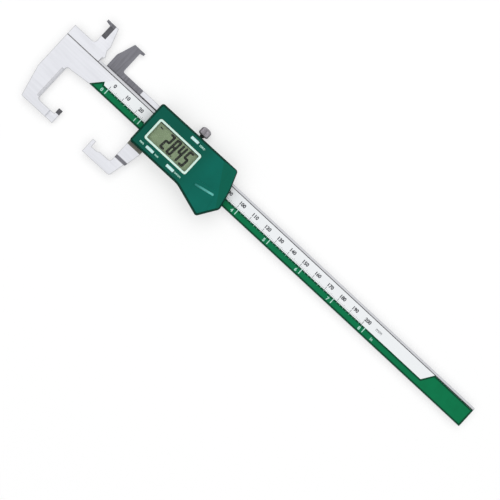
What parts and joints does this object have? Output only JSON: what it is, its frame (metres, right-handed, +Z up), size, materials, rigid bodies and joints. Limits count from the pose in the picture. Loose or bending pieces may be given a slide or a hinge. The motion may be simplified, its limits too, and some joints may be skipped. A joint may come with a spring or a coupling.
{
  "type": "digital groove caliper",
  "caption": "Long flat caliper with hooked lower jaws and slim hooked upper jaws for grooves, a teal slider housing with a display, and a knurled lock screw.",
  "frame": {"origin": "on the table under the middle of the outline, lying on its back, slider at a reading of 28.45 mm", "axes": "+X along the beam, away from the fixed jaws; +Y across the beam, towards the upper jaws; +Z up, out of the display"},
  "size_m": [0.3226, 0.0654, 0.015],
  "materials": {
    "brushed_steel": "fine brushed, satin",
    "ground_steel": "plain turned",
    "brass": "plain",
    "circuit_laminate": "satin solder mask",
    "scale_print": "satin printed film, green and white",
    "teal_plastic": "satin moulded",
    "pale_plastic": "satin",
    "clear_window": "clear, polished",
    "display_glass": "olive grey reflective display",
    "white_plastic": "satin",
    "black_plastic": "matt",
    "connector_rubber": "matt",
    "contact_metal": "bright plated"
  },
  "bodies": {
    "beam": {"beam": "brushed_steel", "electrode_strip": "circuit_laminate", "scale_film": "scale_print", "end_stop": "brushed_steel", "end_stop_screw_1": "ground_steel", "end_stop_screw_2": "ground_steel"},
    "slider": {"slider_frame": "brushed_steel", "gib_strip": "brass", "gib_screw_1": "ground_steel", "gib_screw_2": "ground_steel", "housing_cover": "teal_plastic", "cover_screw_1": "ground_steel", "cover_screw_2": "ground_steel", "cover_screw_3": "ground_steel", "cover_screw_4": "ground_steel", "display_bezel": "pale_plastic", "display_window": "clear_window", "display_panel": "display_glass", "display_carrier": "white_plastic", "lower_connector": "connector_rubber", "upper_connector": "connector_rubber", "circuit_board": "circuit_laminate", "controller_chip": "black_plastic", "units_switch": "black_plastic", "power_switch": "black_plastic", "zero_switch": "black_plastic", "battery_holder": "black_plastic", "button_cell": "brushed_steel", "lower_contact": "contact_metal", "side_contact": "contact_metal"},
    "lock_screw": {"lock_screw": "brushed_steel"},
    "units_key": {"units_key": "white_plastic"},
    "power_key": {"power_key": "white_plastic"},
    "zero_key": {"zero_key": "white_plastic"},
    "battery_cover": {"battery_cover": "teal_plastic"}
  },
  "joints": [
    {"name": "jaw_slide", "type": "slide", "parent": "beam", "child": "slider", "axis": [1, 0, 0], "range_m": [-0.02845, 0.17155]},
    {"name": "lock_screw_turn", "type": "hinge", "parent": "slider", "child": "lock_screw", "pos_m": [-0.06545, 0.02355, 0.00355], "axis": [0, 1, 0], "range_deg": [-90, 360]},
    {"name": "units_key_press", "type": "slide", "parent": "slider", "child": "units_key", "axis": [0, 0, -1], "range_m": [0, 0.0004], "stiffness_N_per_m": 1500},
    {"name": "power_key_press", "type": "slide", "parent": "slider", "child": "power_key", "axis": [0, 0, -1], "range_m": [0, 0.0004], "stiffness_N_per_m": 1500},
    {"name": "zero_key_press", "type": "slide", "parent": "slider", "child": "zero_key", "axis": [0, 0, -1], "range_m": [0, 0.0004], "stiffness_N_per_m": 1500},
    {"name": "battery_cover_slide", "type": "slide", "parent": "slider", "child": "battery_cover", "axis": [0.2062, -0.9785, 0], "range_m": [0, 0.016]}
  ]
}
